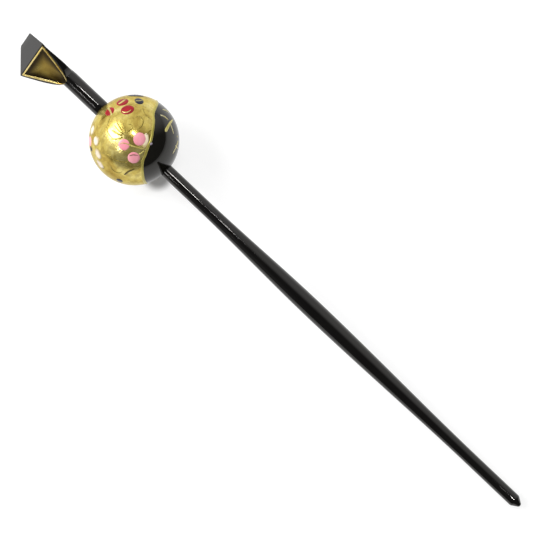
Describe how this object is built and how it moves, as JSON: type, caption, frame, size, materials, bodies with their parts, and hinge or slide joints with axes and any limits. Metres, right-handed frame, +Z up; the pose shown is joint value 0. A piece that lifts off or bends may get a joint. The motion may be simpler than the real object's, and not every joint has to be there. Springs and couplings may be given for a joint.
{
  "type": "ball hairpin with a flared head",
  "caption": "Long round hairpin with a drilled decorated ball near its top and a short black bar above it that flares to a gilded, plectrum-shaped head.",
  "frame": {"origin": "middle of the floor of the bounding box, on the surface that the hairpin lies on", "axes": "+Z up from that surface, +X along the hairpin's length towards the tip of the pin"},
  "size_m": [0.1724, 0.023, 0.023],
  "materials": {
    "black_lacquer": "polished black lacquer over resin",
    "painted_lacquer": "gold and black lacquer, painted and clear coated"
  },
  "bodies": {
    "root": {"head": "black_lacquer", "ball": "painted_lacquer", "pin": "black_lacquer"}
  },
  "joints": []
}
